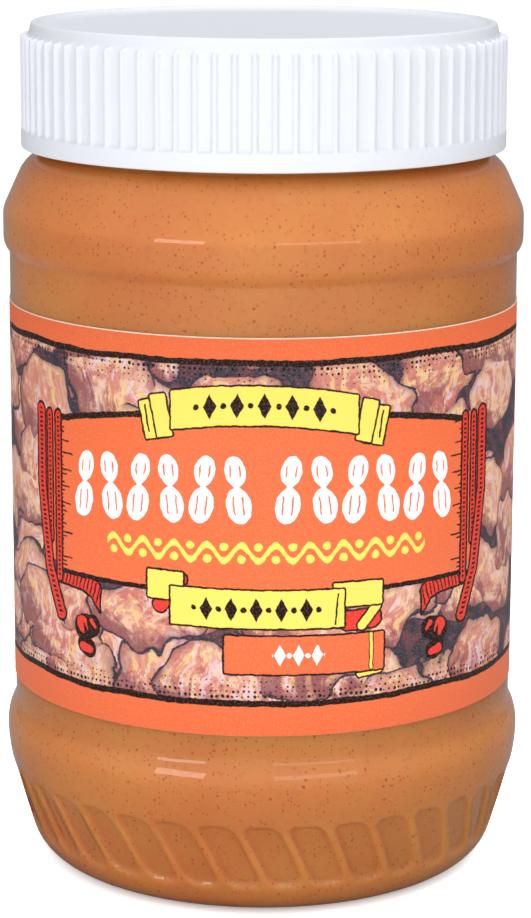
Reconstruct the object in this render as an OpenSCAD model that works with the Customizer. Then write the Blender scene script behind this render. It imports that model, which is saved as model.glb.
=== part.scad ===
// Clear jar of peanut butter with a ribbed screw cap and a paper wrap label.
// Frame: origin at the centre of the standing ring, +Z up, the label's face towards -Y.

/* [Jar shape] */
// Radius of the straight panel that carries the label
panel_r = 38.2; // [30:0.1:60]
// Height of the top end of the straight panel
panel_top_z = 93.6; // [60:0.1:160]
// How far the lower bulge stands out past the panel
lower_bulge_out = 1.3; // [0.5:0.1:3]
// How far the upper bulge stands out past the panel
upper_bulge_out = 0.9; // [0.4:0.1:2]
// Height of the widest line of the lower bulge
lower_bulge_z = 20.4; // [18:0.1:30]
// Height of the straight part of the upper bulge
upper_bulge_h = 3.1; // [1:0.1:10]
// Round under the lower bulge
lower_bulge_under_round = 23; // [10:1:30]
// Round over the lower bulge
lower_bulge_over_round = 8; // [4:0.5:12]
// Hollow round where the lower bulge meets the panel
lower_groove_round = 4; // [2:0.5:8]
// Round under the upper bulge
upper_bulge_under_round = 3; // [1.5:0.1:5]
// Hollow round where the panel meets the upper bulge
upper_groove_round = 1; // [0.8:0.1:3]
// Round over the upper bulge
upper_bulge_over_round = 4.5; // [2:0.1:8]
// Height from the upper bulge to the top of the shoulder
shoulder_h = 9.6; // [8:0.1:14]
// Slope of the shoulder from upright, degrees
shoulder_slope = 24.5; // [20:0.5:35]
// Round at the top of the shoulder
shoulder_round = 5.5; // [3:0.1:8]
// Slope of the heel from upright, degrees
heel_slope = 16.6; // [10:0.1:20]
// Round at the foot of the heel
heel_round = 6.5; // [4:0.1:8]
// Width of the flat standing ring
stand_w = 2; // [1:0.1:4]
// Round inside the standing ring
stand_round = 1.5; // [1:0.1:3]
// Height of the pushed-up base at its centre
pushup_h = 3.5; // [2:0.1:6]
// Wall thickness of the body
wall = 0.7; // [0.5:0.05:1]

/* [Heel panels] */
// Number of recessed panels round the heel
heel_panel_count = 36; // [24:1:40]
// Depth of each recessed panel
heel_panel_depth = 0.55; // [0.2:0.05:0.8]
// Height of the lower end of the panels
heel_panel_z = 4.5; // [4:0.1:6]
// Height of each panel
heel_panel_h = 10.9; // [6:0.1:12]
// Width of the ridge left between two panels
heel_ridge_w = 1.2; // [0.8:0.1:2.5]
// Corner radius of each panel
heel_panel_corner = 1.4; // [0.8:0.1:1.8]
// Turn of a panel from its lower end to its upper end, degrees
heel_panel_lean = 7.5; // [0:0.1:10]
// Turn of the panels about the axis, degrees
heel_panel_turn = -2.1; // [-5:0.1:5]

/* [Neck] */
// Outer radius of the neck
neck_r = 33.1; // [27:0.1:54]
// Wall thickness of the neck
neck_wall = 1.6; // [1:0.1:2.5]

/* [Cap] */
// Overall height of the cap
cap_h = 18.45; // [14:0.05:26]
// Height of the plain band at the foot
cap_band_h = 2.8; // [1:0.1:5]
// Depth of the ribs
rib_depth = 0.65; // [0.3:0.05:1]
// Number of ribs round the skirt
rib_count = 80; // [40:1:96]
// Turn of the ribs about the axis, degrees
rib_turn = 2.55; // [0:0.05:4.5]
// Width of a rib at its root
rib_w = 1.3; // [0.8:0.05:1.6]
// How far a rib's crest lies inside the band's face
rib_inset = 0.1; // [0:0.05:0.2]
// Drop from the cap's rim to the ribs' upper ends
rib_top_drop = 2; // [1:0.05:3.5]
// Thickness of the skirt behind the ribs
skirt_wall = 1.2; // [0.8:0.05:2]
// Thickness of the cap's top panel
cap_top_t = 1.3; // [0.8:0.05:2]
// Height of the bevel round the cap's top edge
cap_bevel_h = 3.2; // [1.5:0.05:4]
// Width of the bevel round the cap's top edge
cap_bevel_w = 1.15; // [0.5:0.05:2]
// Depth of the sunk disc below the cap's rim
cap_disc_depth = 0.72; // [0.3:0.01:1.2]
// Width of the slope from the rim to the sunk disc
cap_disc_slope_w = 3.4; // [1:0.1:5]
// Width of the cap's raised rim
cap_rim_w = 0.4; // [0.2:0.05:1]
// Rounding of the cap's foot
cap_foot_round = 0.8; // [0.3:0.05:1]

/* [Label] */
// Bare part of the panel below the label
label_low_margin = 3; // [0.5:0.05:8]
// Bare part of the panel above the label
label_top_margin = 6.85; // [0.5:0.05:12]
// Thickness of the label
label_t = 0.12; // [0.08:0.01:0.3]

/* [Fits] */
// Clearance between the neck and the cap's skirt, all round
skirt_gap = 1.2; // [0.3:0.05:2]
// Clearance between the shoulder and the cap's foot
cap_foot_gap = 0.57; // [0.2:0.01:2]
// Clearance between the cap's top panel and the neck's rim
seat_gap = 0.1; // [0.05:0.05:0.5]
// Clearance between the label and the panel
label_gap = 0.02; // [0.01:0.01:0.1]
// Clearance between the peanut butter and the wall
fill_gap = 0.03; // [0.02:0.01:0.2]
// Drop from the neck's rim to the top of the peanut butter
fill_drop = 3; // [1:0.1:12]

/* [Hidden] */
$fn = 96;

// Straight steps in a quarter turn of the jar's rounds
round_steps = 12;
// Straight steps in each corner of a heel panel
corner_steps = 3;
// Reach of a cut past the surface that it opens
cut_over = 2;

lower_bulge_r = panel_r + lower_bulge_out;
upper_bulge_r = panel_r + upper_bulge_out;

// Heights and turns of the two S-shaped steps beside the label panel
lower_step_turn = acos(1 - lower_bulge_out / (lower_bulge_over_round + lower_groove_round));
lower_groove_z = lower_bulge_z + (lower_bulge_over_round + lower_groove_round) * sin(lower_step_turn);
upper_step_turn = acos(1 - upper_bulge_out / (upper_bulge_under_round + upper_groove_round));
upper_bulge_z = panel_top_z + (upper_bulge_under_round + upper_groove_round) * sin(upper_step_turn);

// The shoulder's two rounds share a straight slope
shoulder_z = upper_bulge_z + upper_bulge_h + shoulder_h;
shoulder_foot_z = upper_bulge_z + upper_bulge_h;
shoulder_centre_z = shoulder_z - shoulder_round;
shoulder_centre_r = upper_bulge_r - upper_bulge_over_round
    + (upper_bulge_over_round - shoulder_round) / cos(shoulder_slope)
    - (shoulder_centre_z - shoulder_foot_z) * tan(shoulder_slope);

// The heel's two rounds share a straight slope
heel_centre_r = lower_bulge_r - lower_bulge_under_round
    + (lower_bulge_under_round - heel_round) / cos(heel_slope)
    - (lower_bulge_z - heel_round) * tan(heel_slope);
stand_inner_r = heel_centre_r - stand_w;

// The pushed-up base is a shallow dome that leaves the standing ring's inner round
pushup_edge_r = stand_inner_r - stand_round;
pushup_rise = pushup_h - stand_round;
pushup_r = (pow(pushup_edge_r, 2) + pow(pushup_rise, 2)) / (2 * pushup_rise);
pushup_turn = asin(pushup_edge_r / pushup_r);

// The cap rests on the neck's rim, so the cap's own sizes set the neck's height
cap_under_z = cap_h - cap_disc_depth - cap_top_t;
neck_h = cap_foot_gap + cap_under_z - seat_gap;
jar_h = shoulder_z + neck_h;
neck_inner_r = neck_r - neck_wall;
fill_z = jar_h - fill_drop;

cap_z = shoulder_z + cap_foot_gap;
skirt_inner_r = neck_r + skirt_gap;
rib_root_r = skirt_inner_r + skirt_wall;
cap_r = rib_root_r + rib_depth + rib_inset;
cap_rim_r = rib_root_r - cap_bevel_w;
cap_disc_r = cap_rim_r - cap_rim_w - cap_disc_slope_w;

label_z = lower_groove_z + label_low_margin;
label_h = panel_top_z - label_top_margin - label_z;

// Points along a round, as the radius and height of each
function round_points(r, z, radius, from, to) =
    let (steps = max(2, ceil(abs(to - from) / 90 * round_steps)))
    [for (i = [0:steps]) let (a = from + (to - from) * i / steps)
        [r + radius * cos(a), z + radius * sin(a)]];

// Turn at which the shoulder's top round, of a radius, meets an upright neck of another radius
function neck_turn(radius, neck) = acos(max(0, min(1, (neck - shoulder_centre_r) / radius)));

// Outline of the body from the base's centre to the foot of a neck, set in by a distance
function body_outline(inset, neck) = concat(
    [for (i = [0:round_steps]) let (a = pushup_turn * i / round_steps)
        [(pushup_r + inset) * sin(a), pushup_h - pushup_r + (pushup_r + inset) * cos(a)]],
    round_points(stand_inner_r, stand_round, stand_round - inset, 180, 270),
    round_points(heel_centre_r, heel_round, heel_round - inset, 270, 360 - heel_slope),
    round_points(lower_bulge_r - lower_bulge_under_round, lower_bulge_z,
        lower_bulge_under_round - inset, -heel_slope, 0),
    round_points(lower_bulge_r - lower_bulge_over_round, lower_bulge_z,
        lower_bulge_over_round - inset, 0, lower_step_turn),
    round_points(panel_r + lower_groove_round, lower_groove_z,
        lower_groove_round + inset, 180 + lower_step_turn, 180),
    round_points(panel_r + upper_groove_round, panel_top_z,
        upper_groove_round + inset, 180, 180 - upper_step_turn),
    round_points(upper_bulge_r - upper_bulge_under_round, upper_bulge_z,
        upper_bulge_under_round - inset, -upper_step_turn, 0),
    round_points(upper_bulge_r - upper_bulge_over_round, shoulder_foot_z,
        upper_bulge_over_round - inset, 0, shoulder_slope),
    round_points(shoulder_centre_r, shoulder_centre_z,
        shoulder_round - inset, shoulder_slope, neck_turn(shoulder_round - inset, neck))
);

// Corners of a heel panel about its middle: across and along the heel's slope
heel_mid_z = heel_panel_z + heel_panel_h / 2;
heel_mid_r = heel_centre_r + heel_round / cos(heel_slope) + (heel_mid_z - heel_round) * tan(heel_slope);
heel_panel_half = heel_panel_h / 2 / cos(heel_slope) - heel_panel_corner;
function heel_half_w(up) =
    (heel_mid_r + up * sin(heel_slope)) * PI / heel_panel_count - heel_ridge_w / 2 - heel_panel_corner;
function heel_shift(up) = -heel_mid_r * PI / 180 * heel_panel_lean * up / heel_panel_h;
function heel_corner(side, end) =
    let (up = end * heel_panel_half) [heel_shift(up) + side * heel_half_w(up), up];
heel_corners = [heel_corner(-1, -1), heel_corner(1, -1), heel_corner(1, 1), heel_corner(-1, 1)];

// Turn of the outward direction of the edge from one corner to the next
function edge_turn(a, b) = atan2(b[1] - a[1], b[0] - a[0]) - 90;

// Rounded four-cornered outline of a heel panel, grown past its corners by a radius
module heel_panel_outline(radius) {
    polygon([for (i = [0:3])
        let (from = edge_turn(heel_corners[(i + 3) % 4], heel_corners[i]),
             to = edge_turn(heel_corners[i], heel_corners[(i + 1) % 4]),
             turn = (to - from + 360) % 360)
        for (k = [0:corner_steps])
            let (a = from + turn * k / corner_steps)
            heel_corners[i] + radius * [cos(a), sin(a)]]);
}

// Cutters for all the heel panels, sunk below the outer face by a depth
module heel_panel_cuts(depth, grow) {
    for (i = [0:heel_panel_count - 1])
        rotate([0, 0, 360 / heel_panel_count * (i + 0.5) + heel_panel_turn])
            translate([0, -heel_mid_r, heel_mid_z])
                rotate([90 + heel_slope, 0, 0])
                    translate([0, 0, -depth])
                        linear_extrude(height = depth + cut_over)
                            heel_panel_outline(heel_panel_corner + grow);
}

// The space inside the body and neck, set in from the outer face by a distance and cut off at a height
module inside_space(inset, top_z) {
    neck = neck_inner_r + wall - inset;
    difference() {
        rotate_extrude()
            polygon(concat(
                [[0, top_z]],
                body_outline(inset, neck),
                [[neck, shoulder_z - inset], [neck, top_z]]
            ));
        heel_panel_cuts(heel_panel_depth + inset, inset);
    }
}

module jar() {
    color([0.93, 0.95, 0.96, 0.35])
        difference() {
            rotate_extrude()
                polygon(concat([[0, jar_h]], body_outline(0, neck_r), [[neck_r, shoulder_z], [neck_r, jar_h]]));
            heel_panel_cuts(heel_panel_depth, 0);
            inside_space(wall, jar_h + cut_over);
        }
}

module peanut_butter() {
    color([0.8, 0.53, 0.31])
        inside_space(wall + fill_gap, fill_z);
}

// Skirt, bevelled edge, rim and sunk top disc, without ribs
module cap_shell() {
    rotate_extrude()
        polygon(concat(
            [[0, cap_z + cap_under_z], [skirt_inner_r, cap_z + cap_under_z], [skirt_inner_r, cap_z]],
            round_points(cap_r - cap_foot_round, cap_z + cap_foot_round, cap_foot_round, 270, 360),
            [[cap_r, cap_z + cap_band_h], [rib_root_r, cap_z + cap_band_h],
             [rib_root_r, cap_z + cap_h - cap_bevel_h], [cap_rim_r, cap_z + cap_h],
             [cap_rim_r - cap_rim_w, cap_z + cap_h], [cap_disc_r, cap_z + cap_h - cap_disc_depth],
             [0, cap_z + cap_h - cap_disc_depth]]
        ));
}

// Upright ribs from the band into the bevel, each with a slanted top
module cap_ribs() {
    rib_r = cap_r - rib_inset;
    rib_end_z = cap_z + cap_h - rib_top_drop;
    intersection() {
        for (i = [0:rib_count - 1])
            rotate([0, 0, 360 / rib_count * i + rib_turn])
                translate([0, -rib_root_r, cap_z + cap_band_h / 2])
                    linear_extrude(height = cap_h - rib_top_drop - cap_band_h / 2)
                        polygon([[-rib_w / 2, skirt_wall / 2], [rib_w / 2, skirt_wall / 2],
                                 [rib_w / 2, 0], [rib_w / 4, -rib_depth], [-rib_w / 4, -rib_depth], [-rib_w / 2, 0]]);
        rotate_extrude()
            polygon([[skirt_inner_r, cap_z], [rib_r, cap_z], [rib_r, rib_end_z - rib_depth * 2.5],
                     [rib_root_r - skirt_wall / 2, rib_end_z], [skirt_inner_r, rib_end_z]]);
    }
}

module cap() {
    color([0.95, 0.95, 0.96])
        union() {
            cap_shell();
            cap_ribs();
        }
}

// A closed ring of paper round the panel
module label() {
    inner_r = panel_r + label_gap;
    color([0.95, 0.5, 0.33])
        translate([0, 0, label_z])
            difference() {
                cylinder(r = inner_r + label_t, h = label_h);
                translate([0, 0, -cut_over])
                    cylinder(r = inner_r, h = label_h + 2 * cut_over);
            }
}

jar();
peanut_butter();
cap();
label();
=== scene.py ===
"""Looks of a jar of peanut butter: clear shell, contents, ribbed cap and printed paper label.

Lengths inside the classes are in millimetres and become metres when a mesh is made. Azimuth 0 is the
front of the jar, towards -Y, and grows towards +X.
"""
import logging
import math
from collections.abc import Callable
from dataclasses import dataclass, field
from enum import Enum

import bpy
import numpy as np
from mathutils import Matrix, Vector


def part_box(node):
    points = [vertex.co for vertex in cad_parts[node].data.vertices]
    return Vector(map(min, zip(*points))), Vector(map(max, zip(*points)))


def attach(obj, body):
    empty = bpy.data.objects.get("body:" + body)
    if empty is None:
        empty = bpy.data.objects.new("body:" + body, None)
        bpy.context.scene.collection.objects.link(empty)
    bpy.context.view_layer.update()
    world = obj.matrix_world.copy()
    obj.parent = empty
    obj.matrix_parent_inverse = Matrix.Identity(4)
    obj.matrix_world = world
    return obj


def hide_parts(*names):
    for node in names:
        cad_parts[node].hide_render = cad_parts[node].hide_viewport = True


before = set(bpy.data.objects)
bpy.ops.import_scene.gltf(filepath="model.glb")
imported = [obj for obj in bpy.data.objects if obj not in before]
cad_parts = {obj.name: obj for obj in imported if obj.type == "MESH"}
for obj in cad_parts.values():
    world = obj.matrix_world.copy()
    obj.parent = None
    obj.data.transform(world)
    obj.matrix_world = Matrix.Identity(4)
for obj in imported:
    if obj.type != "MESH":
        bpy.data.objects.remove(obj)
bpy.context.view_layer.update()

MM = 0.001
MAP_NAME = "OFBake"
LOG = logging.getLogger("peanut_butter_jar")

Point = tuple[float, float, float]
Rgba = tuple[float, float, float, float]


# ---------------------------------------------------------------- profiles and meshes


def srgb(red: int, green: int, blue: int) -> Rgba:
    """Turns display values into a linear colour.

    Args:
        red: Display value from 0 to 255.
        green: The same for green.
        blue: The same for blue.

    Returns:
        The linear colour with full alpha, by the sRGB curve.
    """
    shown = np.array([red, green, blue]) / 255.0
    linear = np.where(shown <= 0.04045, shown / 12.92, ((shown + 0.055) / 1.055) ** 2.4)
    return (*linear.tolist(), 1.0)


def smooth_step(value: np.ndarray) -> np.ndarray:
    """Returns 0 below 0, 1 above 1 and an S-curve, 3t^2 - 2t^3, between."""
    t = np.clip(value, 0.0, 1.0)
    return t * t * (3.0 - 2.0 * t)


def arc(r: float, z: float, radius: float, start: float, end: float, steps: int) -> np.ndarray:
    """Points on a round in the profile plane.

    Args:
        r: Distance of the round's centre from the jar's axis.
        z: Height of the round's centre.
        radius: Radius of the round.
        start: Turn of the first point, degrees from the outward direction.
        end: Turn of the last point.
        steps: Number of straight steps.

    Returns:
        Rows of (radius, height): the centre plus radius times cosine and sine of the turn.
    """
    turn = np.radians(np.linspace(start, end, steps + 1))
    return np.column_stack((r + radius * np.cos(turn), z + radius * np.sin(turn)))


def joined(*runs: np.ndarray) -> np.ndarray:
    """Puts runs of profile points together.

    Args:
        runs: Rows of (radius, height).

    Returns:
        One outline, without points that repeat their neighbour.
    """
    points = np.concatenate([np.atleast_2d(run) for run in runs])
    step = np.linalg.norm(np.diff(points, axis=0), axis=1)
    return points[np.concatenate(([True], step > 1e-4))]


def refined(points: np.ndarray, longest: float, low: float, high: float) -> np.ndarray:
    """Splits an outline's long straight steps between two heights.

    Args:
        points: Rows of (radius, height).
        longest: Longest step that is left between the two heights.
        low: Lower height.
        high: Upper height.

    Returns:
        The outline with evenly spaced points added on each step that was too long.
    """
    pieces = [points[:1]]
    for a, b in zip(points[:-1], points[1:]):
        inside = low <= (a[1] + b[1]) / 2 <= high
        count = max(1, math.ceil(np.linalg.norm(b - a) / longest)) if inside else 1
        share = np.linspace(0.0, 1.0, count + 1)[1:, None]
        pieces.append(a + (b - a) * share)
    return np.concatenate(pieces)


def outward(points: np.ndarray) -> np.ndarray:
    """Works out each profile point's normal.

    Args:
        points: Rows of (radius, height).

    Returns:
        Unit normals: the local run of the outline turned a quarter clockwise.
    """
    run = np.gradient(points, axis=0)
    normal = np.column_stack((run[:, 1], -run[:, 0]))
    return normal / np.linalg.norm(normal, axis=1, keepdims=True)


def turned_points(radius: np.ndarray, height: np.ndarray, azimuth: np.ndarray) -> np.ndarray:
    """Returns points x = r sin a, y = -r cos a, z = height, for arrays of one shape."""
    return np.stack((radius * np.sin(azimuth), -radius * np.cos(azimuth), height), axis=-1)


def made_piece(name: str, points: np.ndarray, faces: list) -> bpy.types.Object:
    """Makes a smooth mesh object at the origin.

    Args:
        name: Name of the object.
        points: Rows of three coordinates in millimetres.
        faces: Each face's row of point numbers.

    Returns:
        The object, in the scene.
    """
    mesh = bpy.data.meshes.new(name)
    mesh.from_pydata(points * MM, [], faces)
    mesh.polygons.foreach_set("use_smooth", np.ones(len(mesh.polygons), dtype=bool))
    mesh.update()
    piece = bpy.data.objects.new(name, mesh)
    bpy.context.scene.collection.objects.link(piece)
    return piece


@dataclass
class TurnedSurface:
    """A closed surface round the jar's axis: a grid of rings between a first and a last pole.

    Attributes:
        name: Name of the piece.
        rings: Points in millimetres, shaped (rings, columns, 3), from the first pole to the last.
        first_pole: Height of the pole before the first ring.
        last_pole: Height of the pole after the last ring.
    """

    name: str
    rings: np.ndarray
    first_pole: float
    last_pole: float

    def faces(self) -> list:
        """Lists the faces.

        Returns:
            Quads between neighbouring rings and a fan of triangles at each pole.
        """
        rows, columns = self.rings.shape[:2]
        index = np.arange(rows * columns).reshape(rows, columns)
        beside = np.roll(index, -1, axis=1)
        quads = np.stack((index[:-1], beside[:-1], beside[1:], index[1:]), axis=-1).reshape(-1, 4)
        first, last = rows * columns, rows * columns + 1
        start = np.column_stack((np.full(columns, first), beside[0], index[0]))
        end = np.column_stack((np.full(columns, last), index[-1], beside[-1]))
        return quads.tolist() + start.tolist() + end.tolist()

    def build(self) -> bpy.types.Object:
        """Returns the surface as an object."""
        poles = np.array([[0.0, 0.0, self.first_pole], [0.0, 0.0, self.last_pole]])
        return made_piece(self.name, np.concatenate((self.rings.reshape(-1, 3), poles)), self.faces())


def dress(piece: bpy.types.Object, material: bpy.types.Material, slot: str, *nodes: str) -> None:
    """Gives a piece its finish and its place in the frame.

    Args:
        piece: The finished piece.
        material: Its material.
        slot: The record's slot for it; not used.
        nodes: The CAD nodes that it stands for.
    """
    piece.data.materials.clear()
    piece.data.materials.append(material)
    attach(piece, "root")
    if nodes:
        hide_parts(*nodes)
    mesh = piece.data
    LOG.info("%s: %d vertices, %d faces", piece.name, len(mesh.vertices), len(mesh.polygons))


# ---------------------------------------------------------------- jar and contents


@dataclass
class HeelPanels:
    """The leaning recessed panels pressed into the heel.

    A panel's depth is a rounded box seen from outside: full depth inside, nothing outside, and an
    S-curve of a set width between. The columns of the grid lean with the panels.
    """

    count: int = 36
    depth: float = 0.8
    low: float = 4.5
    height: float = 10.9
    ridge: float = 0.4
    corner: float = 2.2
    side_width: float = 0.9
    lean: float = 7.5
    #: Where the lean stops above and below the panels' middle, as a share of their height
    lean_end: float = 0.62
    phase: float = -2.1
    slope: float = 16.6
    #: Places of the grid's columns across one panel, as shares of its pitch from ridge to ridge
    places: tuple = (0.0, 0.045, 0.09, 0.14, 0.2, 0.3, 0.5, 0.7, 0.8, 0.86, 0.91, 0.955)

    @property
    def middle(self) -> float:
        """Height of the panels' middle."""
        return self.low + self.height / 2

    def columns(self) -> np.ndarray:
        """Returns the azimuth of each column at the panels' middle, in radians."""
        pitch = np.arange(self.count)[:, None] + np.array(self.places)[None, :]
        return np.radians(pitch.ravel() * 360.0 / self.count + self.phase)

    def leaned(self, columns: np.ndarray, height: np.ndarray) -> np.ndarray:
        """Returns each column's azimuth at each height: upright, but leaning across the panels."""
        share = np.clip((height - self.middle) / self.height, -self.lean_end, self.lean_end)
        return columns[None, :] - np.radians(self.lean) * share[:, None]

    def sunk(self, radius: np.ndarray, height: np.ndarray, columns: np.ndarray) -> np.ndarray:
        """How deep the surface is pressed in at each ring and column.

        Args:
            radius: Radius of each ring.
            height: Height of each ring.
            columns: Azimuth of each column at the panels' middle.

        Returns:
            Depths shaped (rings, columns): depth times the S-curve of the distance inside the
            rounded box.
        """
        pitch = 2.0 * math.pi / self.count
        upright = math.cos(math.radians(self.slope))
        across = np.mod(columns - math.radians(self.phase), pitch) - pitch / 2
        half_width = radius[:, None] * pitch / 2 - self.ridge / 2
        half_height = self.height / 2 / upright
        up = (height - self.middle)[:, None] / upright
        over_x = np.abs(across[None, :] * radius[:, None]) - (half_width - self.corner)
        over_y = np.abs(up) - (half_height - self.corner)
        outside = np.hypot(np.maximum(over_x, 0.0), np.maximum(over_y, 0.0))
        distance = outside + np.minimum(np.maximum(over_x, over_y), 0.0) - self.corner
        return self.depth * smooth_step(-distance / self.side_width)


@dataclass
class JarBody:
    """The clear jar and the peanut butter in it, both turned from one outline.

    The sizes are the same named values as the CAD jar's, and the CAD jar's box sets the heights.
    """

    panel_r: float = 38.2
    panel_top: float = 93.6
    lower_out: float = 1.3
    upper_out: float = 0.9
    lower_bulge_z: float = 20.4
    upper_bulge_h: float = 3.1
    lower_under: float = 23.0
    lower_over: float = 8.0
    lower_groove: float = 4.0
    upper_under: float = 3.0
    upper_groove: float = 1.0
    upper_over: float = 4.5
    shoulder_h: float = 9.6
    shoulder_slope: float = 24.5
    shoulder_round: float = 5.5
    heel_slope: float = 16.6
    heel_round: float = 6.5
    stand_w: float = 2.0
    stand_round: float = 1.5
    pushup_h: float = 3.5
    wall: float = 0.7
    neck_wall: float = 1.6
    neck_r: float = 33.1
    #: How far the peanut butter reaches into the wall, so that no air shows between them
    bite: float = 0.12
    fill_drop: float = 3.0
    fill_round: float = 0.5
    #: Longest step between rings across the heel panels, and how far past them it holds
    ring_step: float = 0.45
    ring_margin: float = 1.5
    panels: HeelPanels = field(default_factory=HeelPanels)

    def __post_init__(self) -> None:
        """Takes the neck's height from the CAD jar."""
        self.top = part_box("jar")[1].z / MM

    def body_outline(self, inset: float, neck: float) -> np.ndarray:
        """The body from its base's centre to a neck, set in by a distance.

        Args:
            inset: Distance inside the outer face: each round's radius shrinks, or grows if hollow.
            neck: Radius of the neck where the outline ends.

        Returns:
            Rows of (radius, height).
        """
        lower_r = self.panel_r + self.lower_out
        upper_r = self.panel_r + self.upper_out
        lower_reach = self.lower_over + self.lower_groove
        lower_turn = math.degrees(math.acos(1 - self.lower_out / lower_reach))
        lower_groove_z = self.lower_bulge_z + lower_reach * math.sin(math.radians(lower_turn))
        upper_reach = self.upper_under + self.upper_groove
        upper_turn = math.degrees(math.acos(1 - self.upper_out / upper_reach))
        upper_z = self.panel_top + upper_reach * math.sin(math.radians(upper_turn))
        foot = upper_z + self.upper_bulge_h
        slope = math.radians(self.shoulder_slope)
        shoulder_z = foot + self.shoulder_h - self.shoulder_round
        shoulder_r = (upper_r - self.upper_over - (shoulder_z - foot) * math.tan(slope)
                      + (self.upper_over - self.shoulder_round) / math.cos(slope))
        heel = math.radians(self.heel_slope)
        heel_r = (lower_r - self.lower_under - (self.lower_bulge_z - self.heel_round) * math.tan(heel)
                  + (self.lower_under - self.heel_round) / math.cos(heel))
        stand_r = heel_r - self.stand_w
        rise = self.pushup_h - self.stand_round
        edge = stand_r - self.stand_round
        dome = (edge ** 2 + rise ** 2) / (2 * rise)
        dome_turn = math.degrees(math.asin(edge / dome))
        base = arc(0.0, self.pushup_h - dome, dome + inset, 90.0, 90.0 - dome_turn, 10)
        last = self.shoulder_round - inset
        neck_turn = math.degrees(math.acos(min(1.0, max(0.0, (neck - shoulder_r) / last))))
        points = joined(
            base,
            arc(stand_r, self.stand_round, self.stand_round - inset, 180.0, 270.0, 4),
            arc(heel_r, self.heel_round, self.heel_round - inset, 270.0, 360.0 - self.heel_slope, 10),
            arc(lower_r - self.lower_under, self.lower_bulge_z, self.lower_under - inset,
                -self.heel_slope, 0.0, 12),
            arc(lower_r - self.lower_over, self.lower_bulge_z, self.lower_over - inset,
                0.0, lower_turn, 6),
            arc(self.panel_r + self.lower_groove, lower_groove_z, self.lower_groove + inset,
                180.0 + lower_turn, 180.0, 5),
            arc(self.panel_r + self.upper_groove, self.panel_top, self.upper_groove + inset,
                180.0, 180.0 - upper_turn, 4),
            arc(upper_r - self.upper_under, upper_z, self.upper_under - inset, -upper_turn, 0.0, 5),
            arc(upper_r - self.upper_over, foot, self.upper_over - inset,
                0.0, self.shoulder_slope, 5),
            arc(shoulder_r, shoulder_z, last, self.shoulder_slope, neck_turn, 8),
        )
        low, high = self.panels.low, self.panels.low + self.panels.height
        return refined(points, self.ring_step, low - self.ring_margin, high + self.ring_margin)

    def rings(self, outline: np.ndarray, side: float) -> np.ndarray:
        """The outline carried round the axis, with the heel panels pressed in.

        Args:
            outline: Rows of (radius, height).
            side: 1 where the outline's normal points out of the jar, -1 where it points to the axis.

        Returns:
            Points shaped (rings, columns, 3).
        """
        columns = self.panels.columns()
        radius, height = outline[:, 0], outline[:, 1]
        normal = outward(outline) * side
        sunk = self.panels.sunk(radius, height, columns)
        r = radius[:, None] - normal[:, :1] * sunk
        z = height[:, None] - normal[:, 1:] * sunk
        return turned_points(r, z, self.panels.leaned(columns, height))

    def shell(self) -> bpy.types.Object:
        """Builds the clear jar.

        Returns:
            Outer face, rounded rim and inner face in one closed mesh.
        """
        inner_r = self.neck_r - self.neck_wall
        rim = self.neck_wall / 4
        outer = joined(
            self.body_outline(0.0, self.neck_r)[1:],
            np.array([[self.neck_r, self.top - rim]]),
            arc(self.neck_r - rim, self.top - rim, rim, 0.0, 90.0, 3),
            arc(inner_r + rim, self.top - rim, rim, 90.0, 180.0, 3),
        )
        inner = joined(self.body_outline(self.wall, inner_r)[1:])[::-1]
        rings = np.concatenate((self.rings(outer, 1.0), self.rings(inner, -1.0)))
        return TurnedSurface("jar_shell", rings, self.pushup_h, self.pushup_h + self.wall).build()

    def contents(self) -> bpy.types.Object:
        """Builds the peanut butter.

        Returns:
            A solid that reaches a little way into the jar's wall.
        """
        inset = self.wall - self.bite
        neck = self.neck_r - self.neck_wall + self.bite
        level = self.top - self.fill_drop
        outline = joined(
            self.body_outline(inset, neck)[1:],
            np.array([[neck, level - self.fill_round], [neck - self.fill_round, level],
                      [neck / 2, level]]),
        )
        rings = self.rings(outline, 1.0)
        return TurnedSurface("peanut_butter_fill", rings, self.pushup_h + inset, level).build()

    def make(self) -> None:
        """Builds and dresses the jar and what it holds."""
        dress(self.shell(), ClearPlastic().material(), "clear_plastic", "jar")
        dress(self.contents(), Spread().material(), "spread", "peanut_butter")


# ---------------------------------------------------------------- cap


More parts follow.
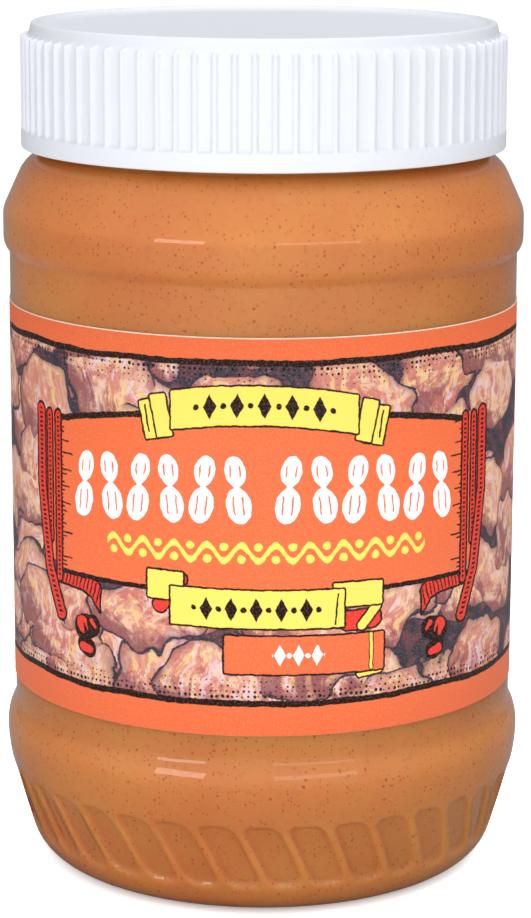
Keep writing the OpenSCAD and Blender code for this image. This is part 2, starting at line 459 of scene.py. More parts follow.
@dataclass
class Cap:
    """The white screw cap: foot band, upright ribs with domed tops, bevel, rim and sunk disc."""

    rib_count: int = 80
    rib_turn: float = 2.55
    rib_depth: float = 0.5
    rib_half: float = 0.56
    #: Width of a rib's rounded flank, as a share of its half width
    rib_flank: float = 0.62
    rib_lift: float = 0.75
    rib_gap: float = 0.08
    rib_top: float = 1.75
    band_h: float = 2.75
    root_r: float = 35.72
    bevel_h: float = 1.5
    bevel_slope: float = 33.0
    bevel_round: float = 5.0
    #: How much of the bevel lies outside the rim's round
    bevel_reach: float = 0.72
    rim_round: float = 0.45
    disc_r: float = 30.7
    disc_depth: float = 0.72
    foot_round: float = 0.35
    skirt_wall: float = 1.2
    top_t: float = 1.3
    #: Places of the grid's columns from one rib's middle to the next, as shares of the pitch
    places: tuple = (0.0, 0.06, 0.11, 0.15, 0.19, 0.24, 0.5, 0.76, 0.81, 0.85, 0.89, 0.94)

    def __post_init__(self) -> None:
        """Takes the cap's radius and heights from the CAD cap."""
        low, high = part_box("cap")
        self.low, self.high, self.radius = low.z / MM, high.z / MM, high.x / MM

    def outline(self) -> tuple[np.ndarray, np.ndarray]:
        """Works out the cap's section.

        Returns:
            The outer outline, from the foot to the disc, and the inner one, back to the foot.
        """
        turn = self.bevel_slope
        round_z = self.high - self.bevel_h - self.bevel_round * math.sin(math.radians(turn))
        shoulder = arc(self.root_r - self.bevel_round, round_z, self.bevel_round, 0.0, turn, 7)
        rim_r = shoulder[-1][0] - self.bevel_h * math.tan(math.radians(turn)) * self.bevel_reach
        rim = arc(rim_r, self.high - self.rim_round, self.rim_round, turn, 90.0, 4)
        rim_in = arc(rim_r - 0.25, self.high - self.rim_round, self.rim_round, 90.0, 160.0, 4)
        disc_z, band_z, foot = self.high - self.disc_depth, self.low + self.band_h, self.foot_round
        outer = joined(
            arc(self.radius - foot, self.low + foot, foot, 270.0, 360.0, 4),
            np.array([[self.radius, band_z - 0.3], [self.radius - 0.02, band_z - 0.12],
                      [self.radius - 0.12, band_z], [self.root_r + 0.1, band_z + 0.12],
                      [self.root_r, band_z + 0.3], [self.root_r, band_z + 0.6]]),
            shoulder, rim, rim_in,
            np.array([[self.disc_r + 1.6, disc_z + 0.16], [self.disc_r + 0.8, disc_z + 0.04],
                      [self.disc_r, disc_z], [self.disc_r / 2, disc_z]]),
        )
        outer = refined(outer, 0.28, self.high - self.rib_top - 1.2, self.high - self.rim_round)
        outer = refined(outer, 4.0, self.low, self.high)
        inside = self.root_r - self.skirt_wall
        under = disc_z - self.top_t
        inner = np.array([[self.disc_r / 2, under], [inside - 0.6, under], [inside, under - 0.6],
                          [inside, self.low + 0.3], [inside + 0.3, self.low]])
        return outer, inner

    def ribs(self, outline: np.ndarray, columns: np.ndarray) -> np.ndarray:
        """How far each rib stands out at each ring and column.

        Args:
            outline: Rows of (radius, height).
            columns: Azimuth of each column, in radians.

        Returns:
            Heights shaped (rings, columns): an S-curve of the distance to the rib's middle line, whose
            upper end is a point, so that the rib ends in a dome.
        """
        pitch = 2.0 * math.pi / self.rib_count
        turn = np.mod(columns - math.radians(self.rib_turn) + pitch / 2, pitch) - pitch / 2
        across = turn * self.root_r
        end = self.high - self.rib_top - self.rib_half
        above = np.maximum(outline[:, 1] - end, 0.0)[:, None]
        distance = np.hypot(across[None, :], above)
        flank = smooth_step((self.rib_half - distance) / (self.rib_half * self.rib_flank))
        above_band = outline[:, 1] > self.low + self.band_h - 0.05
        on_skirt = above_band & (outline[:, 0] > self.root_r - 2.0)
        # A rib's crest is upright, so it grows where the bevel behind it falls back
        fallen = np.clip(self.root_r - outline[:, 0], 0.0, self.rib_lift)[:, None]
        return np.where(on_skirt[:, None], flank * (self.rib_depth + fallen), 0.0)

    def shell(self) -> bpy.types.Object:
        """Builds the cap.

        Returns:
            One closed mesh, from the underside's middle round the foot to the disc's middle.
        """
        outer, inner = self.outline()
        pitch = np.arange(self.rib_count)[:, None] + np.array(self.places)[None, :]
        columns = pitch.ravel() * 2.0 * math.pi / self.rib_count + math.radians(self.rib_turn)
        lift = self.ribs(outer, columns)
        crest = max(self.radius - self.rib_gap, self.root_r + self.rib_depth)
        skirt = np.maximum(np.minimum(outer[:, :1] + lift, crest), outer[:, :1])
        outer_rings = turned_points(*np.broadcast_arrays(skirt, outer[:, 1:], columns[None, :]))
        inner_rings = turned_points(*np.broadcast_arrays(inner[:, :1], inner[:, 1:], columns[None, :]))
        rings = np.concatenate((inner_rings, outer_rings))
        disc_z = self.high - self.disc_depth
        return TurnedSurface("cap_shell", rings, disc_z - self.top_t, disc_z).build()

    def make(self) -> None:
        """Builds and dresses the cap."""
        dress(self.shell(), CapPlastic().material(), "cap_plastic", "cap")


# ---------------------------------------------------------------- label


@dataclass
class Label:
    """The paper wrap: a thin strip round the panel whose end laps over its start at the back.

    Its own map holds the printed face in the lower part of the map's square and the glued face in the
    upper part.
    """

    thickness: float = 0.12
    lap: float = 7.0
    lap_gap: float = 0.02
    ramp: float = 2.5
    columns: int = 360
    face_share: float = 0.74
    corner: float = 0.03

    def __post_init__(self) -> None:
        """Takes the label's radius and heights from the CAD label."""
        low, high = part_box("label")
        self.low, self.height, self.radius = low.z / MM, (high.z - low.z) / MM, high.x / MM

    @property
    def length(self) -> float:
        """Length of the strip's printed face."""
        return 2.0 * math.pi * self.radius + self.lap

    def strip(self) -> tuple[np.ndarray, np.ndarray]:
        """The strip's section carried along its length.

        The lap is lifted by the paper's thickness, times an S-curve of the way along the ramp before it.

        Returns:
            Points shaped (section, columns, 3) and map places shaped (section, columns, 2).
        """
        along = np.linspace(-self.length / 2, self.length / 2, self.columns)
        azimuth = along / self.radius
        start = self.length / 2 - self.lap - self.ramp
        lift = (self.thickness + self.lap_gap) * smooth_step((along - start) / self.ramp)
        c, top = self.corner, self.height
        # Share of the thickness, height, and place up the map in printed heights
        section = np.array([(1.0, c, 0.0), (1.0, top / 2, 0.5), (1.0, top - c, 1.0), (0.5, top, 1.01),
                            (0.0, top - c, 1.02), (0.0, top / 2, 1.17), (0.0, c, 1.32), (0.5, 0.0, 1.33)])
        radius = self.radius - self.thickness + section[:, :1] * self.thickness + lift[None, :]
        height = np.broadcast_to(self.low + section[:, 1:2], radius.shape)
        points = turned_points(radius, height, np.broadcast_to(azimuth[None, :], radius.shape))
        across = np.broadcast_to(along[None, :] / self.length + 0.5, radius.shape)
        up = np.broadcast_to(section[:, 2:] * self.face_share, radius.shape)
        return points, np.stack((across, up), axis=-1)

    def sheet(self) -> bpy.types.Object:
        """Builds the strip.

        Returns:
            A closed mesh with its own map.
        """
        points, place = self.strip()
        rows, columns = points.shape[:2]
        index = np.arange(rows * columns).reshape(rows, columns)
        above = np.roll(index, -1, axis=0)
        quads = np.stack((index[:, :-1], index[:, 1:], above[:, 1:], above[:, :-1]), axis=-1)
        faces = quads.reshape(-1, 4)
        corners = place.reshape(-1, 2)[faces]
        # The last row's faces would fold back over the map, so their upper edge goes to its top
        last = np.ptp(corners[..., 1], axis=1) > 0.9
        corners[last, :, 1] = np.where(corners[last, :, 1] < 0.5, 0.995, corners[last, :, 1])
        ends = [index[:, 0].tolist(), index[::-1, -1].tolist()]
        piece = made_piece("paper_label", points.reshape(-1, 3), faces.tolist() + ends)
        layer = piece.data.uv_layers.new(name=MAP_NAME)
        spots = np.concatenate((corners.reshape(-1, 2), np.tile([0.5, 0.999], (2 * rows, 1))))
        layer.data.foreach_set("uv", spots.ravel())
        return piece

    def make(self) -> None:
        """Builds and dresses the label."""
        dress(self.sheet(), LabelPrint(self).finished(), "label_paper", "label")


# ---------------------------------------------------------------- nodes


class Ink(Enum):
    """Printed colours, as display values."""

    ORANGE = (228, 106, 61)
    YELLOW = (244, 216, 96)
    RED = (222, 52, 36)
    BROWN = (34, 10, 6)
    WHITE = (240, 238, 238)
    SLATE = (54, 50, 62)
    PAPER = (236, 222, 206)
    PINK = (190, 104, 94)
    TAN = (208, 142, 122)
    MAUVE = (134, 74, 80)
    CREAM = (226, 190, 160)
    GOLD = (230, 198, 134)
    LILAC = (222, 194, 204)


def operator(operation: str, turned: bool = False) -> Callable:
    """Makes a method that adds a node after a wire.

    Args:
        operation: The node's operation.
        turned: Whether the wire comes last, as where a plain number stands before it.

    Returns:
        The method, which returns the node's result.
    """
    def method(wire: "Wire", *others: object) -> "Wire":
        """Returns the result of the operation on the wire and the others."""
        return wire.then(operation, *((*others, wire) if turned else (wire, *others)))
    return method


@dataclass(frozen=True)
class Wire:
    """What a node gives at each point of a surface, with arithmetic on it."""

    graph: "Graph"
    socket: bpy.types.NodeSocket

    __add__, __sub__, __rsub__ = operator("ADD"), operator("SUBTRACT"), operator("SUBTRACT", True)
    __mul__, __truediv__, __abs__ = operator("MULTIPLY"), operator("DIVIDE"), operator("ABSOLUTE")
    most, least = operator("MAXIMUM"), operator("MINIMUM")

    def then(self, operation: str, *values: object) -> "Wire":
        """Returns the result of a Math node."""
        return self.graph.math(operation, *values)


class Number(Wire):
    """A number at each point."""

    floor, fract, sine = operator("FLOOR"), operator("FRACT"), operator("SINE")
    nearest, power = operator("ROUND"), operator("POWER")
    pingpong, above = operator("PINGPONG"), operator("GREATER_THAN")


class Triple(Wire):
    """Three numbers at each point: a place or a colour. Two plain numbers stand for a flat place."""

    dot, far, length = operator("DOT_PRODUCT"), operator("DISTANCE"), operator("LENGTH")

    def then(self, operation: str, *values: object) -> Wire:
        """Returns the result of a Vector Math node."""
        return self.graph.vector(operation, *values)

    def parts(self) -> tuple[Number, Number]:
        """Returns a place's first two coordinates."""
        made = self.graph.node("SeparateXYZ", (self,))
        return self.graph.number(made, 0), self.graph.number(made, 1)

    def channels(self) -> list[Number]:
        """Returns a colour's three parts."""
        made = self.graph.node("SeparateColor", (self,))
        return [self.graph.number(made, channel) for channel in range(3)]


class Graph:
    """The nodes of a material or world, added as short expressions."""

    def __init__(self, owner: bpy.types.ID, output: str = "OutputMaterial") -> None:
        """Replaces the nodes of a material or world by a bare output.

        Args:
            owner: The material or world.
            output: Type of its output node.
        """
        self.owner, owner.use_nodes = owner, True
        self.tree = owner.node_tree
        self.tree.nodes.clear()
        self.output = self.node(output)

    def node(self, kind: str, inputs: tuple | dict = (), **settings: object) -> bpy.types.Node:
        """Adds a node.

        Args:
            kind: Its type.
            inputs: What its first inputs take, or its named ones.
            settings: Its other settings.

        Returns:
            The node.
        """
        made = self.tree.nodes.new("ShaderNode" + kind)
        for name, value in settings.items():
            setattr(made, name, value)
        for key, value in inputs.items() if isinstance(inputs, dict) else enumerate(inputs):
            self.feed(made.inputs[key], value)
        return made

    def feed(self, socket: bpy.types.NodeSocket, value: object) -> None:
        """Links a socket, or sets its value.

        Args:
            socket: A node's input.
            value: A wire, node, ink, number, place or colour.
        """
        if isinstance(value, bpy.types.Node):
            value = value.outputs[0]
        source = value.socket if isinstance(value, Wire) else value
        if isinstance(source, bpy.types.NodeSocket):
            self.tree.links.new(source, socket)
        elif isinstance(value, Ink):
            socket.default_value = srgb(*value.value)
        else:
            socket.default_value = (*value, 0.0) if isinstance(value, tuple) and len(value) == 2 else value

    def number(self, node: bpy.types.Node, output: int | str = 0) -> Number:
        """Returns a node's output as a number."""
        return Number(self, node.outputs[output])

    def triple(self, node: bpy.types.Node, output: int | str = 0) -> Triple:
        """Returns a node's output as a place or colour."""
        return Triple(self, node.outputs[output])

    def math(self, operation: str, *values: object, clamp: bool = False) -> Number:
        """Returns the result of a Math node."""
        return self.number(self.node("Math", values, operation=operation, use_clamp=clamp))

    def vector(self, operation: str, *values: object) -> Wire:
        """Returns the result of a Vector Math node.

        Args:
            operation: The node's operation.
            values: What it works on.

        Returns:
            A number for a length, distance or dot product, and else a place.
        """
        made = self.node("VectorMath", values, operation=operation)
        if operation in ("LENGTH", "DOT_PRODUCT", "DISTANCE"):
            return self.number(made, "Value")
        return self.triple(made)

    def point(self, across: Number, up: Number | float) -> Triple:
        """Returns a place made of two coordinates."""
        return self.triple(self.node("CombineXYZ", (across, up)))

    def mix(self, mask: Number, under: object, over: object) -> Triple:
        """Returns one colour laid over another through a mask."""
        return self.triple(self.node("Mix", {0: mask, 6: under, 7: over}, data_type="RGBA"), 2)

    def noise(self, place: Triple, scale: float, detail: float = 2.0, roughness: float = 0.5) -> Number:
        """Returns a cloudy pattern over places."""
        inputs = {"Vector": place, "Scale": scale, "Detail": detail, "Roughness": roughness}
        return self.number(self.node("TexNoise", inputs), "Fac")

    def clouds(self, place: Triple, scale: float, detail: float = 2.0, roughness: float = 0.5) -> Triple:
        """Returns three cloudy patterns over places, as a colour."""
        return Triple(self, self.noise(place, scale, detail, roughness).socket.node.outputs["Color"])

    def between(self, value: Wire, low: float, high: float) -> Number:
        """Returns 0 where a value is below low, 1 above high and a straight rise between."""
        return self.number(self.node("MapRange", (value, low, high, 0.0, 1.0), clamp=True))

    def millimetres(self) -> Triple:
        """Returns the piece's own coordinates in millimetres."""
        return self.triple(self.node("TexCoord"), "Object") * (1.0 / MM, 1.0 / MM, 1.0 / MM)

    def show(self, surface: bpy.types.Node) -> None:
        """Links a shader to the output."""
        self.feed(self.output.inputs["Surface"], surface)

    def principled(self, **values: object) -> bpy.types.Node:
        """Adds the material's own surface shader and shows it.

        Args:
            values: The shader's inputs, with _ for a space.

        Returns:
            The shader.
        """
        inputs = {name.replace("_", " "): value for name, value in values.items()}
        made = self.node("BsdfPrincipled", inputs)
        self.show(made)
        return made

    def let_lamps_through(self, surface: bpy.types.Node, tint: Rgba) -> bpy.types.Material:
        """Shows a surface that shadow rays pass through.

        Args:
            surface: The shader for all other rays.
            tint: What is left of the light that passes.

        Returns:
            The material.
        """
        clear = self.node("BsdfTransparent", (tint,))
        path = self.node("LightPath").outputs["Is Shadow Ray"]
        self.show(self.node("MixShader", (path, surface, clear)))
        return self.owner


# ---------------------------------------------------------------- finishes


@dataclass(frozen=True)
class ClearPlastic:
    """Clear bottle plastic that lets lamps through to what it holds."""

    tint: Rgba = (0.99, 0.985, 0.98, 1.0)
    shadow_tint: Rgba = (0.97, 0.965, 0.96, 1.0)
    roughness: float = 0.015
    ior: float = 1.5

    def material(self) -> bpy.types.Material:
        """Makes glass that shadow rays pass through.

        Returns:
            The material.
        """
        graph = Graph(bpy.data.materials.new("clear_plastic"))
        glass = graph.node("BsdfGlass", (self.tint, self.roughness, self.ior))
        return graph.let_lamps_through(glass, self.shadow_tint)


@dataclass(frozen=True)
class Specks:
    """One layer of specks: cells to a millimetre, size, share of cells that hold one, and colour."""

    scale: float
    size: float
    share: float
    colour: Rgba


@dataclass(frozen=True)
class Spread:
    """Smooth peanut butter: tan with soft drifts, red-brown specks and a few dark ones."""

    tones: tuple[Rgba, Rgba, Rgba] = (srgb(212, 134, 68), srgb(218, 149, 77), srgb(196, 108, 50))
    specks: tuple[Specks, ...] = (
        Specks(1.9, 0.38, 0.5, srgb(190, 70, 30)), Specks(1.3, 0.32, 0.5, srgb(184, 62, 28)),
        Specks(0.8, 0.22, 0.4, srgb(170, 52, 24)), Specks(0.5, 0.13, 0.3, srgb(100, 44, 30)))
    speck_edge: float = 0.2
    speck_strength: float = 0.62
    #: How far light spreads under the surface, in metres, and its share for each colour
    depth: float = 0.006
    reach: Point = (1.0, 0.3, 0.1)

    def material(self) -> bpy.types.Material:
        """Lays the specks over the drifts.

        Returns:
            The material.
        """
        graph = Graph(bpy.data.materials.new("spread"))
        place = graph.millimetres()
        drift = graph.between(graph.noise(place, 0.045, 3.0), 0.35, 0.65)
        colour = graph.mix(drift, self.tones[0], self.tones[1])
        fine = graph.between(graph.noise(place, 1.1), 0.55, 0.75)
        colour = graph.mix(fine * 0.3, colour, self.tones[2])
        for layer in self.specks:
            cells = graph.node("TexVoronoi", {"Vector": place, "Scale": layer.scale})
            chance = graph.triple(cells, "Color").channels()[0]
            reach = graph.between(chance, 1.0 - layer.share, 1.0) * layer.size
            over = reach - graph.number(cells, "Distance")
            mask = graph.between(over, 0.0, layer.size * self.speck_edge)
            colour = graph.mix(mask * self.speck_strength, colour, layer.colour)
        graph.principled(Base_Color=colour, Roughness=0.5, Specular_IOR_Level=0.15,
                         Subsurface_Weight=0.8, Subsurface_Radius=self.reach,
                         Subsurface_Scale=self.depth)
        return graph.owner


@dataclass(frozen=True)
class CapPlastic:
    """The cap's satin white plastic, with a very fine grain and a little light through it."""

    colour: Rgba = srgb(220, 223, 230)
    shadow_tint: Rgba = (0.4, 0.37, 0.34, 1.0)
    roughness: float = 0.42
    grain_scale: float = 3.0
    grain_depth: float = 0.00003

    def material(self) -> bpy.types.Material:
        """Lays a fine grain on white plastic.

        Returns:
            The material.
        """
        graph = Graph(bpy.data.materials.new("cap_plastic"))
        grain = graph.noise(graph.millimetres(), self.grain_scale)
        inputs = {"Height": grain, "Distance": self.grain_depth, "Strength": 0.5}
        white = graph.principled(Base_Color=self.colour, Roughness=self.roughness,
                                 Specular_IOR_Level=0.4, Normal=graph.node("Bump", inputs))
        return graph.let_lamps_through(white, self.shadow_tint)


class LabelPrint(Graph):
    """The label's print, laid down as layers of simple shapes.

    Places are millimetres along the label from its front's middle, and up from its lower edge. Distances
    to a shape's edge are negative inside it.
    """

    #: Width of a soft edge, and of the dark line round a shape
    SOFT = 0.09
    OUTLINE = 0.3
    #: Half width of a rough border, and width of the paper's bare cut edge
    BORDER_HALF = 0.46
    CUT_EDGE = 0.12
    #: Height of each rough border, and the side of it that the kernels are on
    BORDERS = ((54.4, -1.0), (4.85, 1.0))
    #: Shift of each layer of kernels, and the share of them that is left out
    KERNEL_LAYERS = (((3.3, 7.1), 0.15), ((11.6, 2.4), 0.25), ((5.2, 15.8), 0.4))
    #: The panel's middle, half width, foot, and its top's height and fall to the sides
    PANEL = (-0.2, 32.8, 21.1, 47.3, -0.0031)
    #: Half width of each roll beside the panel, and the points on its line
    ROLLS = ((0.75, ((33.6, 44.2), (33.6, 20.0))), (0.75, ((35.75, 44.1), (35.75, 25.5))),
             (1.15, ((38.1, 44.2), (38.1, 33.0), (36.2, 21.2), (33.3, 14.6))))
    #: Middle of one pod, and the ends of the row, for each row of pods
    POD_ROWS = ((-28.0, -30.6, -1.4), (3.8, 1.3, 30.6))
    POD_PITCH = 4.87
    #: Height and radius of a pod's upper and lower rounds, and how softly they join
    POD_ROUNDS = ((38.9, 2.2), (33.9, 2.6))
    POD_BLEND = 0.9
    #: Pitch of the stippled dots, the heights they start from, and how far they reach from there
    DOT_PITCH = 0.78
    DOT_HEIGHTS = (5.0, 54.4)
    DOT_REACH = 3.9
    #: Pitch of the hatching at the panel's sides
    HATCH_PITCH = 0.62
    #: Length, middle height and half height of the yellow wave
    WAVE_PITCH = 4.9
    WAVE_UP = 27.0
    WAVE_HALF = 1.15

    def __init__(self, label: Label) -> None:
        """Sets up the places.

        Args:
            label: The label that carries the print.
        """
        super().__init__(bpy.data.materials.new("label_paper"))
        self.high = label.height
        mapped = self.triple(self.node("UVMap", uv_map=MAP_NAME))
        self.place = (mapped * (label.length, label.height / label.face_share)
                      + (-label.length / 2, 0.0))
        self.rough = self.place + (self.clouds(self.place, 0.9) * (0.4, 0.4) + (-0.2, -0.2))
        self.colour = Ink.SLATE

    def mirrored(self, place: Triple, middle: float) -> Triple:
        """Returns places folded about an upright line, so that one shape is drawn on both sides."""
        across, up = place.parts()
        return self.point(abs(across - middle), up)

    def bent(self, place: Triple, sag: float, tilt: float = 0.0) -> Triple:
        """Returns places whose height grows by sag times the square of the way along, plus a tilt."""
        across, up = place.parts()
        return self.point(across, up + across * (across * sag + tilt))

    def repeated(self, place: Triple, pitch: float, middle: float) -> tuple[Triple, Number]:
        """Finds places within a run of equal cells.

        Args:
            place: The place.
            pitch: Width of a cell.
            middle: Middle of one of the cells.

        Returns:
            The place about its cell's middle, with its height unchanged, and the cell's number.
        """
        across, up = place.parts()
        cell = ((across - middle) / pitch).nearest()
        return self.point(across - (cell * pitch + middle), up), cell

    def box(self, place: Triple, centre: tuple, half: tuple, radius: float = 0.3) -> Number:
        """Returns the distance to a box with rounded corners."""
        past = abs(place - centre) - (half[0] - radius, half[1] - radius)
        return past.most((0.0, 0.0)).length() - radius

    def bar(self, place: Triple, start: tuple, end: tuple, first: float = 0.0, last: float = 0.0) -> Number:
        """Finds the distance to a straight line, or to a limb that swells or tapers along it.

        Args:
            place: The place.
            start: Where the line starts.
            end: Where it ends.
            first: The limb's half width at the start.
            last: Its half width at the end.

        Returns:
            The distance to the nearest point of the line, less the half width there.
        """
        run = np.subtract(end, start)
        off = place - start
        share = self.math("ADD", off.dot(tuple(run / (run @ run))), 0.0, clamp=True)
        away = self.vector("MULTIPLY_ADD", share, tuple(-run), off).length()
        return away - (share * (last - first) + first) if first or last else away

    def limbs(self, place: Triple, *limbs: tuple) -> Number:
        """Finds the distance to the nearest of some limbs.

        Args:
            place: The place.
            limbs: Each limb's start and end, and its two half widths unless it is a plain line.

        Returns:
            The distance.
        """
        nearest = self.bar(place, *limbs[0])
        for limb in limbs[1:]:
            nearest = nearest.least(self.bar(place, *limb))
        return nearest

    def inside(self, distance: Number, size: float = 0.0, soft: float = SOFT) -> Number:
        """Returns 1 where a distance is below a size and 0 above it, with a soft edge."""
        return self.math("MULTIPLY_ADD", distance, -1.0 / soft, size / soft + 0.5, clamp=True)

    def edge(self, distance: Number, size: float, width: float) -> Number:
        """Returns 1 on a line of a width that follows an edge."""
        return self.inside(abs(distance - size), width / 2)

    def paint(self, ink: Ink, *masks: Number) -> None:
        """Lays an ink over the print where all the masks are 1.

        Args:
            ink: The ink.
            masks: The masks.
        """
        mask = masks[0]
        for more in masks[1:]:
            mask = mask * more
        self.colour = self.mix(mask, self.colour, ink)

    def shape(self, distance: Number, ink: Ink, size: float = 0.0, outline: float = OUTLINE) -> None:
        """Lays down a shape with a dark outline."""
        self.paint(ink, self.inside(distance, size))
        self.paint(Ink.BROWN, self.edge(distance, size, outline))

    def kernels(self, place: Triple, mottle: Number, dabs: Triple, offset: tuple, share: float) -> None:
        """Lays down one layer of large rounded kernels, shaded from lower left to upper right.

        Args:
            place: Warped places, as shares of a kernel's spacing.
            mottle: Fine pattern of the kernels' skin.
            dabs: Three finer patterns, for small dabs of other colours.
            offset: Shift that makes this layer's kernels lie apart from the others'.
            share: How many of the kernels are left out.
        """
        moved = place + offset
        cells = self.node("TexVoronoi", {"Vector": moved, "Scale": 1.0}, voronoi_dimensions="2D")
        hue, kind, keep = self.triple(cells, "Color").channels()
        dab, fleck, stroke = dabs.channels()
        light = (moved - self.triple(cells, "Position")).dot((0.7, 1.1))
        wavy = mottle * 0.12 + self.number(cells, "Distance")
        tone = self.mix(hue, Ink.PINK, Ink.TAN)
        skin = mottle + (kind * 0.14 + -0.07)
        for value, low, high, strength, ink in (
                (skin, 0.5, 0.58, 0.8, Ink.CREAM), (light - skin, -0.4, 0.15, 0.6, Ink.CREAM),
                (dab, 0.53, 0.58, 0.65, Ink.GOLD), (fleck, 0.55, 0.6, 0.65, Ink.LILAC),
                (stroke, 0.54, 0.6, 0.6, Ink.PINK),
                (light + (skin + (stroke * -0.7 + 0.35)), 0.34, 0.08, 0.85, Ink.MAUVE),
                (wavy, 0.45, 0.56, 0.7, Ink.MAUVE), (wavy, 0.545, 0.56, 1.0, Ink.SLATE)):
            tone = self.mix(self.between(value, low, high) * strength, tone, ink)
        mask = self.between(wavy, 0.59, 0.58) * keep.above(share)
        self.colour = self.mix(mask, self.colour, tone)

    def ground(self) -> None:
        """Lays down the soft mottled field of kernels over dark gaps."""
        warped = self.place + (self.clouds(self.place, 0.1) * (12.0, 12.0) + (-6.0, -6.0))
        placed = warped * (0.066, 0.098)
        mottle = self.noise(self.place, 0.42, 5.0, 0.68)
        dabs = self.clouds(warped * (1.0, 0.55), 0.75, 3.0, 0.6)
        self.colour = self.mix(self.between(mottle, 0.45, 0.75), Ink.SLATE, Ink.MAUVE)
        for offset, share in self.KERNEL_LAYERS:
            self.kernels(placed, mottle, dabs, offset, share)

    def stipple(self) -> None:
        """Lays down rows of ink dots that thin out away from the two borders."""
        across, up = self.place.parts()
        column, line = across / self.DOT_PITCH, up / self.DOT_PITCH
        number = self.point(column.floor(), line.floor())
        chance = self.node("TexWhiteNoise", {"Vector": number}, noise_dimensions="2D")
        shift = self.triple(chance, "Color") * (0.5, 0.25) + (-0.25, -0.125)
        far = self.point(column.fract() - 0.5, line.fract() - 0.5).far(shift)
        away = (up - self.DOT_HEIGHTS[0]).least(self.DOT_HEIGHTS[1] - up)
        reach = self.number(chance, "Value") * 0.22 + (away * -0.08 + 0.2)
        self.paint(Ink.BROWN, self.inside(far - reach, soft=1 / 9), self.inside(away, self.DOT_REACH))

    def bands(self) -> None:
        """Lays down the orange bands along both edges, their rough dark borders and the cut edge."""
        across, up = self.place.parts()
        sway = self.noise(self.point(across, 0.0), 0.06, 1.0)
        rough_up = self.rough.parts()[1]
        level = sway * 1.6 + -0.8
        for height, side in self.BORDERS:
            past = (rough_up - height - level) * side
            self.paint(Ink.ORANGE, self.inside(past))
            self.paint(Ink.BROWN, self.inside(abs(past), self.BORDER_HALF))
        self.paint(Ink.PAPER, self.inside(self.high - self.CUT_EDGE - up, soft=1 / 12))

    def panel(self) -> None:
        """Lays down the main orange panel, its curls, its hatched side edges and the rolls beside it."""
        middle, half, foot, height, fall = self.PANEL
        folded = self.mirrored(self.rough, -0.3)
        self.curls(folded)
        across, up = self.rough.parts()
        top = across * across * fall + height
        side = abs(across - middle) - half
        over, under = up - top, foot - up
        whole = side.most(over.most(under))
        self.paint(Ink.ORANGE, self.inside(whole))
        for past, width in ((over, self.BORDER_HALF), (under, 0.36)):
            self.paint(Ink.BROWN, self.inside(abs(past), width), self.inside(side))
        row = up / self.HATCH_PITCH
        chance = self.number(self.node("TexWhiteNoise", {"W": row.floor()}, noise_dimensions="1D"))
        length = chance.power(2.0) * 2.6 + 0.15
        stripe = abs(row.fract() - 0.5)
        self.paint(Ink.BROWN, self.inside(stripe, 0.2, 0.15), self.inside(whole),
                   self.math("MULTIPLY_ADD", side + length, 8.0, 0.5, clamp=True))
        self.rolls(folded)

    def curls(self, folded: Triple) -> None:
        """Lays down the hatched curl under each end of the panel and the dark knot below it.

        Args:
            folded: Places folded about the panel's middle.
        """
        across, up = folded.parts()
        curl = self.limbs(folded, ((33.5, 20.1), (28.5, 20.1), 0.9, 1.2),
                          ((28.5, 20.1), (26.1, 19.5), 1.2, 1.4), ((26.1, 19.4), (25.0, 16.2), 1.3, 0.1))
        slant = across * 1.3 + up * 0.35
        lines = self.inside(abs(slant.fract() - 0.5), 0.17, 0.15)
        dark = self.edge(curl, 0.0, 0.4).most(lines * self.inside(curl, -0.3))
        knot = self.limbs(folded, ((28.2, 13.4), (26.6, 13.9), 2.0, 1.7),
                          ((28.0, 10.9), (27.3, 10.4), 1.5, 1.5))
        dark = dark.most(self.inside(knot))
        self.paint(Ink.RED, self.inside(curl))
        self.paint(Ink.BROWN, dark)
        self.paint(Ink.RED, self.inside(self.limbs(
            folded, ((28.6, 14.0), (28.3, 13.3), 1.05, 0.9), ((26.7, 14.6), (26.0, 13.8), 0.4, 0.25),
            ((28.4, 10.5), (27.0, 10.2), 0.7, 0.6))))
        self.paint(Ink.BROWN, self.inside(self.bar(folded, (28.2, 13.9), (27.7, 12.5), 0.15, 0.45)))

    def rolls(self, folded: Triple) -> None:
        """Lays down the red rolls at both ends of the panel.

        Args:
            folded: Places folded about the panel's middle.
        """
        up = folded.parts()[1]
        self.paint(Ink.ORANGE, self.inside(self.box(folded, (35.5, 33.5), (2.4, 11.2))))
        dashes = self.inside(abs((up * 1.45).fract() - 0.5), 0.27, 0.15)
        for size, points in self.ROLLS:
            roll = self.limbs(folded, *zip(points, points[1:]))
            self.shape(roll, Ink.RED, size, 0.42)
            self.paint(Ink.BROWN, dashes, self.inside(roll, size * 0.34))

    def pods(self) -> None:
        """Lays down two rows of white pods, each two joined rounds with a vein on each side."""
        arched = self.bent(self.rough, 0.0016)
        for middle, low, high in self.POD_ROWS:
            local, cell = self.repeated(arched, self.POD_PITCH, middle)
            across, up = (local * (1.45, 1.0)).parts()
            lean = cell.pingpong(1.0) * 0.3 + -0.15
            tipped = self.point((up - 36.4) * lean + across, up)
            upper, lower = (tipped.far((0.0, height)) - radius for height, radius in self.POD_ROUNDS)
            pod = self.math("SMOOTH_MIN", upper, lower, self.POD_BLEND)
            shown = self.inside(self.box(self.place, ((low + high) / 2, 36.0), ((high - low) / 2, 8.0)))
            vein = abs(abs(tipped.parts()[0]) - 1.0)
            veins = self.inside(vein, 0.17) * self.inside(pod, -0.9)
            self.paint(Ink.WHITE, self.inside(pod) - veins, shown)

